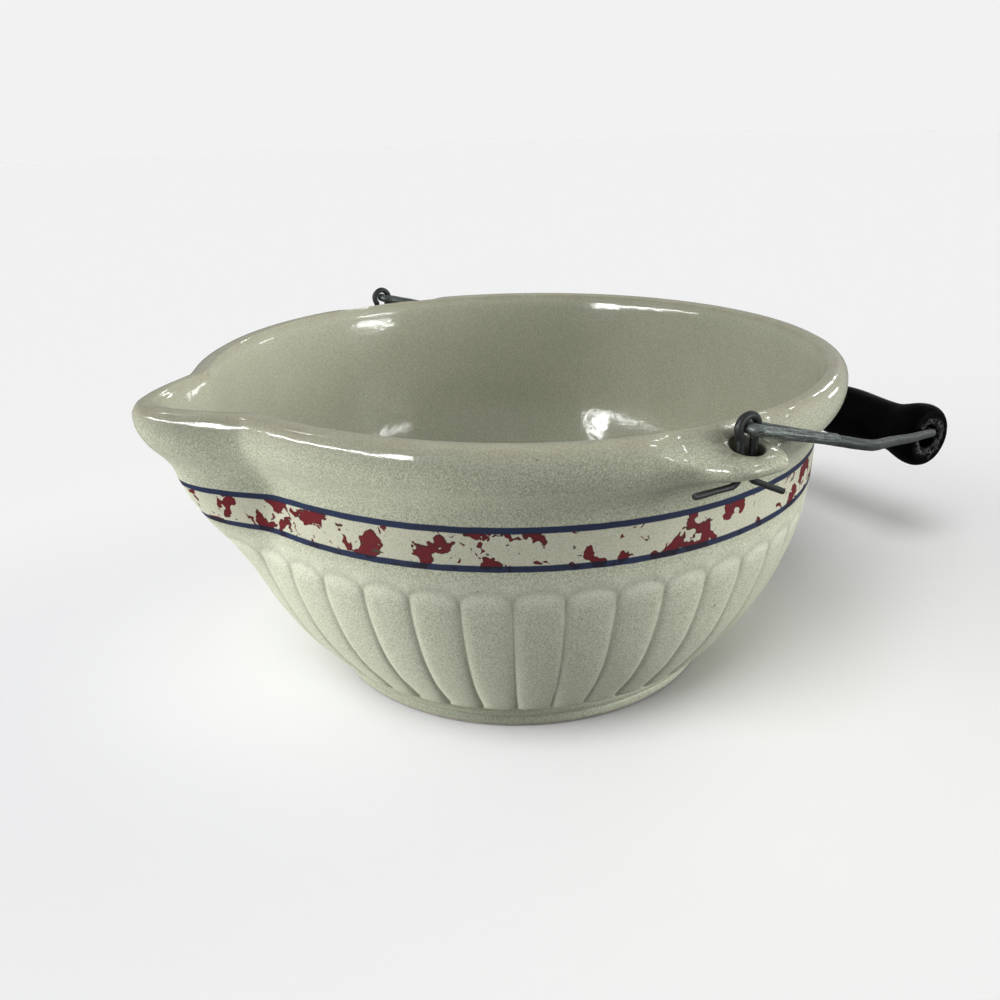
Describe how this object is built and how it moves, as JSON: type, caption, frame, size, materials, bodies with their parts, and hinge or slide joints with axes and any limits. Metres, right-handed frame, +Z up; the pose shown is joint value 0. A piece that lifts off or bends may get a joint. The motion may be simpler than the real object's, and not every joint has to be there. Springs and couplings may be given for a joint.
{
  "type": "batter bowl",
  "caption": "Round stoneware mixing bowl with a pouring beak, pierced ears and a swinging wire bail with a turned grip.",
  "frame": {"origin": "centre of the foot ring, on the table plane", "axes": "+Z up, -X towards the pouring beak, +X towards the hanging bail, ears on +Y and -Y"},
  "size_m": [0.3286, 0.2552, 0.1186],
  "materials": {
    "glazed_stoneware": "grey-green glaze with fine brown speckle, glossy inside and on the rim, satin outside",
    "staple_wire": "dark oxidised wire with brighter drawn streaks",
    "bail_wire": "dark oxidised wire with brighter drawn streaks",
    "black_paint": "black painted wood, worn at the ends of the hole"
  },
  "bodies": {
    "bowl": {"bowl": "glazed_stoneware", "left_ear_staple": "staple_wire", "right_ear_staple": "staple_wire"},
    "bail": {"bail_wire": "bail_wire"},
    "grip": {"grip": "black_paint"}
  },
  "joints": [
    {"name": "bail_swing", "type": "hinge", "parent": "bowl", "child": "bail", "pos_m": [0, 0, 0.114], "axis": [0, -1, 0], "range_deg": [0, 205]},
    {"name": "grip_spin", "type": "hinge", "parent": "bail", "child": "grip", "pos_m": [0.1816, 0, 0.05677], "axis": [0, 1, 0], "continuous": true}
  ]
}
